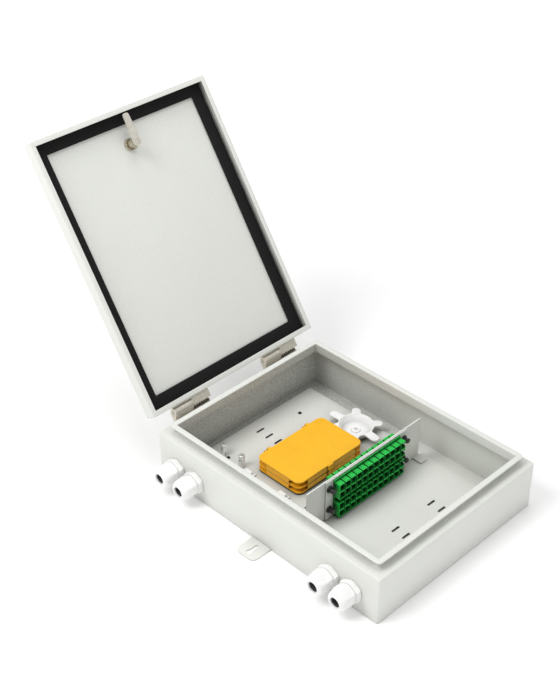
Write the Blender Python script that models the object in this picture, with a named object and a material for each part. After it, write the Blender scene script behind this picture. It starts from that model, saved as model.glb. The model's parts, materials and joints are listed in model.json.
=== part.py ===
"""Fiber termination box: a sheet-steel wall box, lid open, with splice trays, spool, adapters and glands.

Frame: the box lies on its back. +Z points out of the opening, +X runs from the hinges to the lock, and the
cable glands are on the -Y side. The origin is the middle of the rear face. Everything is in metres.
"""

import math

import bmesh
import bpy
from mathutils import Matrix, Vector

# ---- driving dimensions ----
LENGTH = 0.400  # along X, hinge side to lock side
WIDTH = 0.3075  # along Y
WALL_HEIGHT = 0.0724  # rear face to the shoulder
SHEET = 0.0015
GAP = 0.0003  # clearance between pieces that touch
CORNER = 0.0025  # radius of the box's upright corners
LIP_CORNER = 0.0065
CORNER_STEPS = 3

# Rain gutter round the opening: a shoulder, an upright collar and a lip turned outwards.
COLLAR_INSET = 0.0184
COLLAR_HEIGHT = 0.0128
LIP_WIDTH = 0.0080
RIM_Z = WALL_HEIGHT + COLLAR_HEIGHT

# Lid: a shallow tray whose edge is turned inwards.
LID_DEPTH = 0.0168
LID_LIP = 0.0073
LID_LIFT = 0.0010  # lid edge above the shoulder when closed
LID_EDGE_Z = WALL_HEIGHT + LID_LIFT
LID_TOP_Z = LID_EDGE_Z + LID_DEPTH
LID_OPEN_ANGLE = math.radians(123.8)
GASKET_WIDTH = 0.0190
GASKET_OUTER_X = 0.1960
GASKET_OUTER_Y = 0.1483
GASKET_THICK = 0.0030

# Hinges on the -X wall.
HINGE_X = -0.2088
HINGE_Z = 0.0806
HINGE_CENTRES = (-0.086, 0.086)
HINGE_LENGTH = 0.0645
LEAF_THICK = 0.0022
KNUCKLE = 0.0042
BODY_KNUCKLE = 0.0060
PIN_RADIUS = 0.0020

# Cam lock near the free edge of the lid, given for the closed lid.
LOCK_X = 0.1486
LOCK_NUT_FLATS = 0.0170
BARREL_RADIUS = 0.0068
PLUG_RADIUS = 0.0044
CAM_REACH = 0.0415
CAM_ROOT = 0.0064
CAM_TIP = 0.0047
CAM_THICK = 0.0025
CAM_TOP_Z = 0.0704

# Cable glands through the -Y wall, M25 size.
GLAND_X = (-0.1645, -0.1270, 0.1210, 0.1580)
GLAND_Z = 0.0295
GLAND_FLATS = 0.0290
GLAND_CORNER = 0.0164
GLAND_THREAD = 0.0123
GLAND_BORE = 0.0065
GLAND_SIDES = 24

# Mounting plate and what stands on it.
PLATE_X = 0.186
PLATE_Y = 0.129
PLATE_BOTTOM = 0.0040
PLATE_TOP = PLATE_BOTTOM + SHEET
DECK = PLATE_TOP + GAP
PLATE_SCREW_X = (-0.153, 0.146)
PLATE_SCREW_Y = (-0.070, 0.0735)
POST_PLACES = ((-0.1625, -0.0690), (-0.1265, -0.0690))
POST_RADIUS = 0.0045
POST_TOP = 0.0255
TIE_MOUNT_PLACES = ((-0.1070, -0.0785), (-0.0415, -0.0785))

# Splice trays: a pad, two trays and a cover, all hinged at the -X side.
TRAY_CENTRE_X = -0.0660
TRAY_CENTRE_Y = 0.0047
TRAY_HALF_X = 0.0412
TRAY_HALF_Y = 0.0645
TRAY_CORNER = 0.0095
TRAY_HEIGHT = 0.0087
TRAY_WALL = 0.0015
TRAY_NOTCH = 0.0170
TRAY_NOTCH_DEPTH = 0.0048
PAD_THICK = 0.0020
COVER_THICK = 0.0021
TRAY_HINGE_Y = (-0.0437, 0.0318)  # from the tray's centre
TRAY_HINGE_OUT = 0.0026
TRAY_HINGE_X = TRAY_CENTRE_X - TRAY_HALF_X - TRAY_HINGE_OUT
KNUCKLE_LENGTH = 0.0050
PEG_RADIUS = 0.0007
TRAY_1_Z = DECK + PAD_THICK + GAP
TRAY_2_Z = TRAY_1_Z + TRAY_HEIGHT + GAP
COVER_Z = TRAY_2_Z + TRAY_HEIGHT + GAP
TRAY_KNUCKLE = 0.0016

# Fibre spool.
SPOOL_X = -0.0665
SPOOL_Y = 0.1000
SPOOL_DRUM = 0.0265
SPOOL_TOP = 0.0185
SPOOL_FINGER_WIDTH = 0.0104
SPOOL_FINGERS = (  # degrees, reach
    (-6, 0.0455), (48, 0.0365), (132, 0.0365), (186, 0.0455), (228, 0.0355), (312, 0.0355),
)

# Adapter bracket and the two rows of duplex adapters.
BRACKET_X = 0.0310  # front face
BRACKET_SHEET = 0.0020
BRACKET_Y = (-0.1025, 0.1225)
BRACKET_TOP = 0.0710
ROW_Z = (0.0216, 0.0532)
PORT_PITCH = 0.0110
FIRST_PORT_Y = -0.0500
PORTS_PER_ROW = 12
PORTS_PER_BLOCK = 6
ADAPTER_WIDTH = 0.0100
ADAPTER_HEIGHT = 0.0250
ADAPTER_FRONT = 0.0135
ADAPTER_BACK = 0.0110
ADAPTER_FLANGE = 0.0155  # half height
PANEL_Y = (-0.0690, 0.0910)
PANEL_Z = ((0.0065, 0.0371), (0.0376, 0.0708))
PLUNGER_Y = (-0.0630, 0.0850)
PLUNGER_Z = (0.0235, 0.0580)

# Wall lugs.
LUG_WIDTH = 0.0340
LUG_REACH = 0.0325
LUG_THICK = 0.0020

STEEL_PAINT = ((0.80, 0.81, 0.77, 1.0), 0.45, 0.0)
ZINC = ((0.62, 0.59, 0.53, 1.0), 0.35, 0.9)
NYLON = ((0.93, 0.93, 0.93, 1.0), 0.45, 0.0)
RUBBER = ((0.015, 0.015, 0.015, 1.0), 0.80, 0.0)
BLACK_NYLON = ((0.02, 0.02, 0.02, 1.0), 0.40, 0.0)
GREEN = ((0.01, 0.33, 0.05, 1.0), 0.40, 0.0)
ORANGE = ((0.95, 0.50, 0.04, 1.0), 0.45, 0.0)


# ---- building blocks ----
def material(name, look):
    """One Principled material: colour, roughness and metallic value."""
    found = bpy.data.materials.get(name)
    if found:
        return found
    made = bpy.data.materials.new(name)
    made.use_nodes = True
    shader = made.node_tree.nodes["Principled BSDF"]
    shader.inputs["Base Color"].default_value = look[0]
    shader.inputs["Roughness"].default_value = look[1]
    shader.inputs["Metallic"].default_value = look[2]
    return made


def add_object(name, mesh_data, look, parent=None, smooth=True):
    """Finish a bmesh as a named object. With a parent its coordinates are the parent's."""
    bmesh.ops.recalc_face_normals(mesh_data, faces=mesh_data.faces)
    mesh = bpy.data.meshes.new(name)
    mesh_data.to_mesh(mesh)
    mesh_data.free()
    if smooth:
        mesh.shade_smooth()
        mesh.set_sharp_from_angle(angle=math.radians(32))
    made = bpy.data.objects.new(name, mesh)
    bpy.context.scene.collection.objects.link(made)
    if look:
        mesh.materials.append(material(name + "_material", look))
    made.parent = parent
    return made


def add_axis(name, place, parent=None, rotation=(0.0, 0.0, 0.0)):
    """An empty on a joint's axis, which carries the pieces that turn or slide."""
    axis = bpy.data.objects.new(name, None)
    bpy.context.scene.collection.objects.link(axis)
    axis.parent = parent
    axis.location = place
    axis.rotation_euler = rotation
    return axis


def moved(mesh_data, offset):
    bmesh.ops.translate(mesh_data, verts=mesh_data.verts, vec=Vector(offset))
    return mesh_data


def rounded_outline(half_x, half_y, radius, steps=CORNER_STEPS):
    """A rectangle with round corners, anticlockwise, centred on the origin."""
    radius = max(radius, 0.0006)
    points = []
    for index, (sign_x, sign_y) in enumerate(((1, 1), (-1, 1), (-1, -1), (1, -1))):
        centre = Vector((sign_x * (half_x - radius), sign_y * (half_y - radius)))
        for step in range(steps + 1):
            angle = math.radians(90 * index + 90 * step / steps)
            points.append(centre + radius * Vector((math.cos(angle), math.sin(angle))))
    return points


def circle(radius, sides, centre=(0.0, 0.0), start=0.0):
    return [
        Vector((centre[0] + radius * math.cos(start + math.tau * k / sides),
                centre[1] + radius * math.sin(start + math.tau * k / sides)))
        for k in range(sides)
    ]


def hexagon(flats, corner, sides=GLAND_SIDES):
    """A hexagon of this size across flats, with its corners turned down to the corner radius."""
    points = []
    for k in range(sides):
        angle = math.tau * k / sides
        off_flat = (angle + math.pi / 6) % (math.pi / 3) - math.pi / 6
        radius = min(flats / 2 / math.cos(off_flat), corner)
        points.append(Vector((radius * math.cos(angle), radius * math.sin(angle))))
    return points


def loft(rings, closed=False):
    """Join outlines of equal length, each (points, height), with caps, or end to end for a ring body."""
    mesh_data = bmesh.new()
    loops = [[mesh_data.verts.new((p.x, p.y, height)) for p in points] for points, height in rings]
    pairs = list(zip(loops, loops[1:]))
    if closed:
        pairs.append((loops[-1], loops[0]))
    for low, high in pairs:
        count = len(low)
        for k in range(count):
            mesh_data.faces.new((low[k], low[(k + 1) % count], high[(k + 1) % count], high[k]))
    if not closed:
        mesh_data.faces.new(list(reversed(loops[0])))
        mesh_data.faces.new(loops[-1])
    return mesh_data


def prism(points, low, high):
    """A flat outline extruded along Z."""
    return loft(((points, low), (points, high)))


def block(low, high):
    """A box between two corners."""
    outline = [Vector((low[0], low[1])), Vector((high[0], low[1])),
               Vector((high[0], high[1])), Vector((low[0], high[1]))]
    return prism(outline, low[2], high[2])


def cylinder(radius, low, high, sides=16, centre=(0.0, 0.0)):
    return prism(circle(radius, sides, centre), low, high)


def along_y(mesh_data):
    """Turn a body built along +Z so that it runs along -Y."""
    bmesh.ops.transform(mesh_data, matrix=Matrix.Rotation(math.radians(90), 4, "X"), verts=mesh_data.verts)
    return mesh_data


def along_x(mesh_data):
    """Turn a body built along +Z so that it runs along +X."""
    bmesh.ops.transform(mesh_data, matrix=Matrix.Rotation(math.radians(90), 4, "Y"), verts=mesh_data.verts)
    return mesh_data


def side_prism(points, low, high):
    """Extrude an outline given in X and Z along Y."""
    mesh_data = prism([Vector((p[0], -p[1])) for p in points], low, high)
    bmesh.ops.transform(mesh_data, matrix=Matrix.Rotation(math.radians(-90), 4, "X"), verts=mesh_data.verts)
    return mesh_data


def gather(parts):
    """Put several bodies in one mesh, for a cutter with many pieces."""
    whole = bmesh.new()
    for part in parts:
        copy = bpy.data.meshes.new("gathered")
        bmesh.ops.recalc_face_normals(part, faces=part.faces)
        part.to_mesh(copy)
        part.free()
        whole.from_mesh(copy)
        bpy.data.meshes.remove(copy)
    return whole


def boolean(target, tool_mesh, operation="DIFFERENCE"):
    """Cut or join a helper body. The helper stays in the file, hidden, as the modifier's operand."""
    count = sum(1 for modifier in target.modifiers if modifier.type == "BOOLEAN")
    tool = add_object(f"{target.name}_tool_{count + 1}", tool_mesh, None, target.parent, smooth=False)
    tool.hide_render = True
    tool.display_type = "WIRE"
    modifier = target.modifiers.new(f"{operation.lower()}_{count + 1}", "BOOLEAN")
    modifier.operation = operation
    modifier.object = tool
    return target


# ---- enclosure and lugs ----
def box_ring(inset, height, radius=None):
    if radius is None:
        radius = CORNER - inset
    return rounded_outline(LENGTH / 2 - inset, WIDTH / 2 - inset, radius), height


def build_enclosure():
    edge = 0.0008
    chain = (
        (edge, 0.0), (0.0, edge), (0.0, WALL_HEIGHT - edge), (edge, WALL_HEIGHT),
        (COLLAR_INSET - SHEET, WALL_HEIGHT), (COLLAR_INSET - SHEET, RIM_Z - SHEET),
        (COLLAR_INSET - LIP_WIDTH, RIM_Z - SHEET, LIP_CORNER),
        (COLLAR_INSET - LIP_WIDTH, RIM_Z - edge / 2, LIP_CORNER),
        (COLLAR_INSET - LIP_WIDTH + edge / 2, RIM_Z, LIP_CORNER), (COLLAR_INSET - edge / 2, RIM_Z),
        (COLLAR_INSET, RIM_Z - edge / 2), (COLLAR_INSET, WALL_HEIGHT - SHEET),
        (SHEET, WALL_HEIGHT - SHEET), (SHEET, SHEET),
    )
    enclosure = add_object("enclosure", loft([box_ring(*step) for step in chain]), STEEL_PAINT)
    bosses = [cylinder(0.0042, SHEET / 2, PLATE_BOTTOM - GAP, 12, (x, y))
              for x in PLATE_SCREW_X for y in PLATE_SCREW_Y]
    boolean(enclosure, gather(bosses), "UNION")
    pilots = [cylinder(0.0018, SHEET + 0.0003, PLATE_BOTTOM, 8, (x, y))
              for x in PLATE_SCREW_X for y in PLATE_SCREW_Y]
    boolean(enclosure, gather(pilots))
    entries = [moved(along_y(cylinder(GLAND_THREAD + GAP, 0.0, 4 * SHEET, GLAND_SIDES)),
                     (x, -WIDTH / 2 + 3 * SHEET, GLAND_Z)) for x in GLAND_X]
    boolean(enclosure, gather(entries))


def keyhole(centre_y, slot_end_y):
    """A round hole that a screw head passes, with a narrow slot towards the box."""
    round_part = cylinder(0.0042, -0.001, LUG_THICK + 0.001, 16, (0.0, centre_y))
    slot_half = 0.0023
    low, high = sorted((centre_y, slot_end_y))
    outline = rounded_outline(slot_half, (high - low) / 2 + slot_half, slot_half, 4)
    slot = prism([p + Vector((0.0, (low + high) / 2)) for p in outline], -0.001, LUG_THICK + 0.001)
    return round_part, slot


def build_lug(name, side):
    root = WIDTH / 2 + GAP
    tip = root + LUG_REACH
    half = LUG_WIDTH / 2
    radius = 0.0085
    outline = [Vector((-half, root)), Vector((half, root))]
    for index, sign in ((0, 1), (1, -1)):
        for step in range(6):
            angle = math.radians(90 * index + 18 * step)
            outline.append(Vector((sign * (half - radius), tip - radius))
                           + radius * Vector((math.cos(angle), math.sin(angle))))
    outline = [Vector((p.x, side * p.y)) for p in outline]
    lug = add_object(name, prism(outline, 0.0, LUG_THICK), STEEL_PAINT)
    for tool in keyhole(side * (tip - 0.0095), side * (root + 0.0095)):
        boolean(lug, tool)


# ---- lid, gasket, hinges and lock ----
def closed_lid(mesh_data):
    """Place a body drawn for the closed lid in the frame of the hinge axis."""
    return moved(mesh_data, (-HINGE_X, 0.0, -HINGE_Z))


def build_lid(axis):
    edge = 0.0008
    top = LID_TOP_Z
    low = LID_EDGE_Z
    chain = (
        (edge, top), (0.0, top - edge), (0.0, low + edge / 2), (edge / 2, low), (LID_LIP, low),
        (LID_LIP, low + SHEET), (SHEET, low + SHEET), (SHEET, top - SHEET),
    )
    lid = add_object("lid", closed_lid(loft([box_ring(*step) for step in chain])), STEEL_PAINT, axis)
    boolean(lid, closed_lid(cylinder(BARREL_RADIUS + GAP, low, top + 0.01, 20, (LOCK_X, 0.0))))
    high = top - SHEET - GAP
    outer = rounded_outline(GASKET_OUTER_X, GASKET_OUTER_Y, 0.001)
    inner = rounded_outline(GASKET_OUTER_X - GASKET_WIDTH, GASKET_OUTER_Y - GASKET_WIDTH, 0.001)
    ring = loft(((outer, high - GASKET_THICK), (outer, high), (inner, high),
                 (inner, high - GASKET_THICK)), True)
    add_object("lid_gasket", closed_lid(ring), RUBBER, axis)


def arc(radius, start, end, steps):
    return [(radius * math.cos(math.radians(start + (end - start) * k / steps)),
             radius * math.sin(math.radians(start + (end - start) * k / steps))) for k in range(steps + 1)]


def build_hinge(number, centre_y, lid_axis):
    """Two leaves, one half of the barrel each, and the pin. Outlines are drawn round the pin's centre."""
    wall = -LENGTH / 2 - GAP - HINGE_X
    back = wall - LEAF_THICK
    half = HINGE_LENGTH / 2
    body_low = -0.0366
    profile = ((back, body_low), (wall, body_low), (wall, -0.0096), (0.0, -0.0096), (-0.0006, -0.0102),
               (-0.0006, -0.0170), (back - 0.0014, -0.0200), (back, -0.0214))
    body_leaf = side_prism(profile, centre_y - half, centre_y + half)
    root = BODY_KNUCKLE * 0.85
    groove = ((BODY_KNUCKLE * 0.94, -0.0020), (0.0048, -0.0024), (0.0048, -0.0030), (root, -0.0034))
    body_barrel = side_prism(
        [(root, -0.0110), *reversed(groove)] + arc(BODY_KNUCKLE, 0, 180, 10)
        + [(-BODY_KNUCKLE, -0.0050), (-0.0004, -0.0120)], centre_y - half, centre_y - GAP)
    fixed = moved(body_leaf, (HINGE_X, 0.0, HINGE_Z))
    leaf = add_object(f"hinge_{number}_body_leaf", fixed, ZINC)
    boolean(leaf, moved(body_barrel, (HINGE_X, 0.0, HINGE_Z)), "UNION")
    bore = moved(along_y(cylinder(PIN_RADIUS + GAP, -0.05, 0.05, 16)), (HINGE_X, centre_y, HINGE_Z))
    boolean(leaf, bore)

    lid_plate = side_prism(((back, -0.0042), (wall, -0.0042), (wall, 0.0086), (back, 0.0086)),
                           centre_y - half, centre_y + half)
    lid_barrel = side_prism([(wall, -0.0042), (wall, 0.0060), (back, 0.0060)] + arc(KNUCKLE, 45, 180, 7)
                            + [(-KNUCKLE, -0.0042)], centre_y + GAP, centre_y + half)
    swinging = add_object(f"hinge_{number}_lid_leaf", lid_plate, ZINC, lid_axis)
    boolean(swinging, lid_barrel, "UNION")
    boolean(swinging, moved(along_y(cylinder(PIN_RADIUS + GAP, -0.05, 0.05, 16)), (0.0, centre_y, 0.0)))

    pin = moved(along_y(cylinder(PIN_RADIUS, -half + 0.0005, half - 0.0005, 16)),
                (HINGE_X, centre_y, HINGE_Z))
    add_object(f"hinge_{number}_pin", pin, ZINC)


def build_lock(lid_axis):
    """Barrel, nut, plug, cam and screw. Heights are those of the closed lid."""
    head_z = LID_TOP_Z + GAP
    barrel_low = CAM_TOP_Z + GAP
    head = circle(0.0100, 20)
    body = circle(BARREL_RADIUS, 20)
    bore = circle(PLUG_RADIUS + GAP, 20)
    barrel = loft(((bore, barrel_low), (body, barrel_low), (body, head_z), (head, head_z),
                   (head, head_z + 0.0016), (circle(0.0088, 20), head_z + 0.0028), (bore,
                                                                                    head_z + 0.0028)), True)
    add_object("lock_barrel", closed_lid(moved(barrel, (LOCK_X, 0.0, 0.0))), ZINC, lid_axis)
    nut_high = LID_TOP_Z - SHEET - GAP
    nut_outer = hexagon(LOCK_NUT_FLATS, 0.0094)
    nut_inner = circle(BARREL_RADIUS + GAP, GLAND_SIDES)
    nut = loft(((nut_inner, nut_high - 0.0045), (nut_outer, nut_high - 0.0045),
                (nut_outer, nut_high), (nut_inner, nut_high)), True)
    add_object("lock_nut", closed_lid(moved(nut, (LOCK_X, 0.0, 0.0))), ZINC, lid_axis)

    cam_axis = add_axis("cam_axis", (LOCK_X - HINGE_X, 0.0, CAM_TOP_Z - HINGE_Z), lid_axis)
    plug = add_object("lock_plug", cylinder(PLUG_RADIUS, GAP, head_z + 0.0024 - CAM_TOP_Z, 20), ZINC,
                      cam_axis)
    boolean(plug, block((-0.0006, -0.0032, head_z - CAM_TOP_Z - 0.002), (0.0006, 0.0032, 0.03)))
    boolean(plug, cylinder(0.0018, -0.001, 0.0060, 12))
    lever = [Vector((CAM_ROOT * math.cos(a), CAM_ROOT * math.sin(a)))
             for a in (math.radians(90 + 18 * k) for k in range(11))]
    nose = 0.0030
    tip_x = CAM_REACH
    lever += [Vector((tip_x - nose, -CAM_TIP)), Vector((tip_x - nose * 0.3, -CAM_TIP + nose * 0.3)),
              Vector((tip_x, -CAM_TIP + nose)), Vector((tip_x, CAM_TIP - nose)),
              Vector((tip_x - nose * 0.3, CAM_TIP - nose * 0.3)), Vector((tip_x - nose, CAM_TIP))]
    cam = add_object("lock_cam", prism(lever, -CAM_THICK, 0.0), ZINC, cam_axis)
    boolean(cam, cylinder(0.0018, -0.01, 0.01, 12))
    boolean(cam, cylinder(0.0036, -0.01, -CAM_THICK + 0.0013, 16))
    shank = circle(0.0015, 16)
    cap = circle(0.0033, 16)
    screw = loft(((cap, -CAM_THICK + 0.0001), (cap, -CAM_THICK + 0.0010), (shank, -CAM_THICK + 0.0010),
                  (shank, 0.0050)))
    add_object("cam_screw", screw, ZINC, cam_axis)


# ---- cable glands ----
def build_gland(number, x):
    """Body with a hexagon outside the wall, a lock nut inside it and a domed cap that screws down."""
    outer = hexagon(GLAND_FLATS, GLAND_CORNER)
    thread = circle(GLAND_THREAD, GLAND_SIDES)
    neck = circle(0.0108, GLAND_SIDES)
    bore = circle(0.0085, GLAND_SIDES)
    flange = GAP
    flange_end = 0.0080
    neck_end = 0.0185
    tail = -0.0100
    body = loft(((bore, tail), (thread, tail), (thread, flange), (outer, flange),
                 (outer, flange_end - 0.0008),
                 (circle(0.0142, GLAND_SIDES), flange_end), (neck, flange_end), (neck, neck_end),
                 (bore, neck_end)), True)
    place = (x, -WIDTH / 2, GLAND_Z)
    add_object(f"gland_body_{number}", moved(along_y(body), place), NYLON)
    nut_hole = circle(GLAND_THREAD + GAP, GLAND_SIDES)
    nut = loft(((nut_hole, -SHEET - GAP - 0.0050), (outer, -SHEET - GAP - 0.0050), (outer, -SHEET - GAP),
                (nut_hole, -SHEET - GAP)), True)
    add_object(f"gland_locknut_{number}", moved(along_y(nut), place), NYLON)

    axis = add_axis(f"gland_cap_axis_{number}", place)
    start = flange_end + GAP
    pocket = circle(0.0108 + GAP, GLAND_SIDES)
    mouth = circle(GLAND_BORE, GLAND_SIDES)
    dome = ((0.0150, 0.0175), (0.0146, 0.0215), (0.0135, 0.0255), (0.0117, 0.0290), (0.0100, 0.0312),
            (0.0088, 0.0325))
    rings = [(pocket, start), (outer, start), (outer, 0.0155)]
    rings += [(circle(radius, GLAND_SIDES), height) for radius, height in dome]
    rings += [(mouth, 0.0325), (mouth, neck_end + 2 * GAP), (pocket, neck_end + 2 * GAP)]
    add_object(f"gland_cap_{number}", along_y(loft(rings, True)), NYLON, axis)


# ---- mounting plate and small fittings ----
def build_plate():
    plate = add_object("mounting_plate",
                       prism(rounded_outline(PLATE_X, PLATE_Y, 0.003), PLATE_BOTTOM, PLATE_TOP),
                       STEEL_PAINT)
    pitch = 0.0180
    slots = [(-0.1652 + pitch * k, 0.0049) for k in range(3)]
    slots += [(0.1085 + pitch * k, y) for k in range(2) for y in (-0.0146, 0.0581)]
    cutters = []
    for x, y in slots:
        outline = rounded_outline(0.0018, 0.0075, 0.0018, 4)
        cutters.append(prism([p + Vector((x, y)) for p in outline], 0.0, 0.01))
    cutters += [cylinder(0.0018, 0.0, 0.01, 10, (x, y)) for x in PLATE_SCREW_X for y in PLATE_SCREW_Y]
    cutters.append(cylinder(0.0022, 0.0, 0.01, 10, (-0.0036, -0.0677)))
    boolean(plate, gather(cutters))
    for index, (x, y) in enumerate([(x, y) for x in PLATE_SCREW_X for y in PLATE_SCREW_Y], 1):
        add_object(f"plate_screw_{index}", moved(pan_screw(0.0027, 0.0012, 0.0014, 0.0032), (x, y, DECK)),
                   ZINC)


def pan_screw(head_radius, head_height, shank_radius, shank_length):
    """A low round head on a shank, with a socket in the head. The head's underside is at height 0."""
    sides = 12
    shank = circle(shank_radius, sides)
    socket = circle(head_radius * 0.42, sides)
    return loft(((shank, -shank_length), (shank, 0.0), (circle(head_radius, sides), 0.0),
                 (circle(head_radius, sides), head_height * 0.5), (circle(head_radius * 0.8, sides),
                                                                   head_height),
                 (socket, head_height), (socket, head_height * 0.4)))


def build_posts():
    for index, (x, y) in enumerate(POST_PLACES, 1):
        height = POST_TOP - DECK
        base = circle(POST_RADIUS, 16)
        profile = loft(((base, 0.0), (base, height - 0.0005), (circle(POST_RADIUS - 0.0005, 16), height),
                        (circle(0.0017, 16), height), (circle(0.0017, 16), height - 0.0040)))
        post = add_object(f"strength_post_{index}", moved(profile, (x, y, DECK)), ZINC)
        cross = moved(along_y(cylinder(0.0016, -0.01, 0.01, 12)), (x, y, POST_TOP - 0.0075))
        boolean(post, cross)


def build_tie_mounts():
    """Low nylon saddles with a tunnel for a cable tie."""
    for index, (x, y) in enumerate(TIE_MOUNT_PLACES, 1):
        saddle = loft((
            (rounded_outline(0.0095, 0.0095, 0.0015), 0.0), (rounded_outline(0.0095, 0.0095, 0.0015),
                                                             0.0020),
            (rounded_outline(0.0065, 0.0065, 0.0015), 0.0025), (rounded_outline(0.0060, 0.0060, 0.0015),
                                                                0.0068),
        ))
        mount = add_object(f"tie_mount_{index}", moved(saddle, (x, y, DECK)), NYLON)
        boolean(mount, block((x - 0.0025, y - 0.02, DECK + 0.0028), (x + 0.0025, y + 0.02, DECK + 0.0052)))


def build_spool():
    """A drum with six fingers at its upper edge, which keep the spare fibre on it."""
    floor = 0.0018
    wall = 0.0016
    height = SPOOL_TOP - DECK
    sides = 36
    outer = circle(SPOOL_DRUM, sides)
    inner = circle(SPOOL_DRUM - wall, sides)
    drum = loft(((circle(0.0014, sides), 0.0), (circle(SPOOL_DRUM - 0.001, sides), 0.0), (outer, 0.001),
                 (outer, height), (inner, height), (inner, floor), (circle(0.0062, sides), floor),
                 (circle(0.0058, sides), floor + 0.0016), (circle(0.0014, sides), floor + 0.0016)), True)
    spool = add_object("fibre_spool", moved(drum, (SPOOL_X, SPOOL_Y, DECK)), NYLON)
    half = SPOOL_FINGER_WIDTH / 2
    start = SPOOL_DRUM - wall / 2
    for degrees, reach in SPOOL_FINGERS:
        turn = math.radians(degrees)
        tip = reach - half
        outline = [Vector((start, -half * 1.25)), Vector((tip, -half))]
        outline += [Vector((tip + half * math.cos(a), half * math.sin(a)))
                    for a in (math.radians(-67.5 + 22.5 * j) for j in range(7))]
        outline += [Vector((tip, half)), Vector((start, half * 1.25))]
        finger = prism(outline, height - 0.0018, height - 0.0001)
        bmesh.ops.rotate(finger, verts=finger.verts, matrix=Matrix.Rotation(turn, 3, "Z"))
        boolean(spool, moved(finger, (SPOOL_X, SPOOL_Y, DECK)), "UNION")
    screw = pan_screw(0.0026, 0.0012, 0.0011, 0.0032)
    add_object("spool_screw", moved(screw, (SPOOL_X, SPOOL_Y, DECK + floor + 0.0016 + GAP)), ZINC)


# ---- splice trays ----
def tray_outline(inset):
    return rounded_outline(TRAY_HALF_X - inset, TRAY_HALF_Y - inset, TRAY_CORNER - inset, 5)


def tray_local(mesh_data, base_z, axis_place):
    """Place a body drawn round the tray's centre, in the box or relative to its hinge axis."""
    origin = axis_place or (0.0, 0.0, 0.0)
    return moved(mesh_data, (TRAY_CENTRE_X - origin[0], TRAY_CENTRE_Y - origin[1], base_z - origin[2]))


def corner_notches(height):
    """Openings for the fibres at the four corners of a tray's wall."""
    tools = []
    for sign_x in (-1, 1):
        for sign_y in (-1, 1):
            x = sorted((sign_x * (TRAY_HALF_X - TRAY_NOTCH), sign_x * (TRAY_HALF_X + 0.002)))
            y = sorted((sign_y * (TRAY_HALF_Y - TRAY_NOTCH), sign_y * (TRAY_HALF_Y + 0.002)))
            tools.append(block((x[0], y[0], height - TRAY_NOTCH_DEPTH), (x[1], y[1], height + 0.002)))
    return gather(tools)


def splice_comb():
    """Ribs that hold the splice sleeves, on one rail that stands on the tray's floor."""
    rail = [block((-0.0100, -0.0180, TRAY_WALL / 2), (0.0100, 0.0180, TRAY_WALL + 0.0008))]
    ribs = 7
    for k in range(ribs):
        y = -0.0165 + 0.0055 * k
        rail.append(block((-0.0095, y - 0.0006, TRAY_WALL / 2), (0.0095, y + 0.0006, TRAY_WALL + 0.0042)))
    return rail


def hinge_lugs(height):
    """Knuckles on the -X side of a tray, each with a peg that carries the knuckle of the piece above."""
    parts = []
    centre_x = -TRAY_HALF_X - TRAY_HINGE_OUT
    inside = 0.0009 - TRAY_HALF_X
    z = height - TRAY_KNUCKLE
    for y in TRAY_HINGE_Y:
        outline = [(centre_x + dx, z + dz) for dx, dz in arc(TRAY_KNUCKLE, 60, 300, 8)]
        outline += [(inside, z - TRAY_KNUCKLE * 0.87), (inside, z + TRAY_KNUCKLE * 0.87)]
        parts.append(side_prism(outline, y - KNUCKLE_LENGTH / 2, y + KNUCKLE_LENGTH / 2))
        parts.append(moved(along_y(cylinder(PEG_RADIUS, -KNUCKLE_LENGTH * 1.6, 0.0, 10)), (centre_x, y, z)))
    return parts


def hinge_arms():
    """Arms below a tray or cover that turn on the pegs of the tray underneath, drawn from the tray's base."""
    parts = []
    centre_x = -TRAY_HALF_X - TRAY_HINGE_OUT
    inside = 0.0008 - TRAY_HALF_X
    z = -GAP - TRAY_KNUCKLE
    for lug_y in TRAY_HINGE_Y:
        y = lug_y + KNUCKLE_LENGTH + 0.0010
        outline = [(centre_x + dx, z + dz) for dx, dz in arc(TRAY_KNUCKLE, 180, 360, 6)]
        outline += [(centre_x + TRAY_KNUCKLE, 0.0004), (inside, 0.0004), (inside, 0.0016),
                    (centre_x - TRAY_KNUCKLE + 0.0010, 0.0016), (centre_x - TRAY_KNUCKLE, 0.0006)]
        parts.append(side_prism(outline, y - KNUCKLE_LENGTH / 2, y + KNUCKLE_LENGTH / 2))
    return parts


def peg_bores():
    """The bores of the arms, round the pegs."""
    centre_x = -TRAY_HALF_X - TRAY_HINGE_OUT
    bores = []
    for lug_y in TRAY_HINGE_Y:
        y = lug_y + KNUCKLE_LENGTH + 0.0010
        tool = cylinder(PEG_RADIUS + GAP, -KNUCKLE_LENGTH, KNUCKLE_LENGTH, 10)
        bores.append(moved(along_y(tool), (centre_x, y, -GAP - TRAY_KNUCKLE)))
    return gather(bores)


def build_tray(name, base_z, parent, axis_place):
    walls = loft(((tray_outline(0.0003), 0.0), (tray_outline(0.0), 0.0004), (tray_outline(0.0), TRAY_HEIGHT),
                  (tray_outline(TRAY_WALL), TRAY_HEIGHT), (tray_outline(TRAY_WALL), TRAY_WALL)))
    tray = add_object(name, tray_local(walls, base_z, axis_place), ORANGE, parent)
    boolean(tray, tray_local(corner_notches(TRAY_HEIGHT), base_z, axis_place))
    for part in splice_comb():
        boolean(tray, tray_local(part, base_z, axis_place), "UNION")
    for part in hinge_lugs(TRAY_HEIGHT):
        boolean(tray, tray_local(part, base_z, axis_place), "UNION")
    return tray


def hang_on_pegs(piece, base_z, axis_place):
    for part in hinge_arms():
        boolean(piece, tray_local(part, base_z, axis_place), "UNION")
    boolean(piece, tray_local(peg_bores(), base_z, axis_place))


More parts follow.
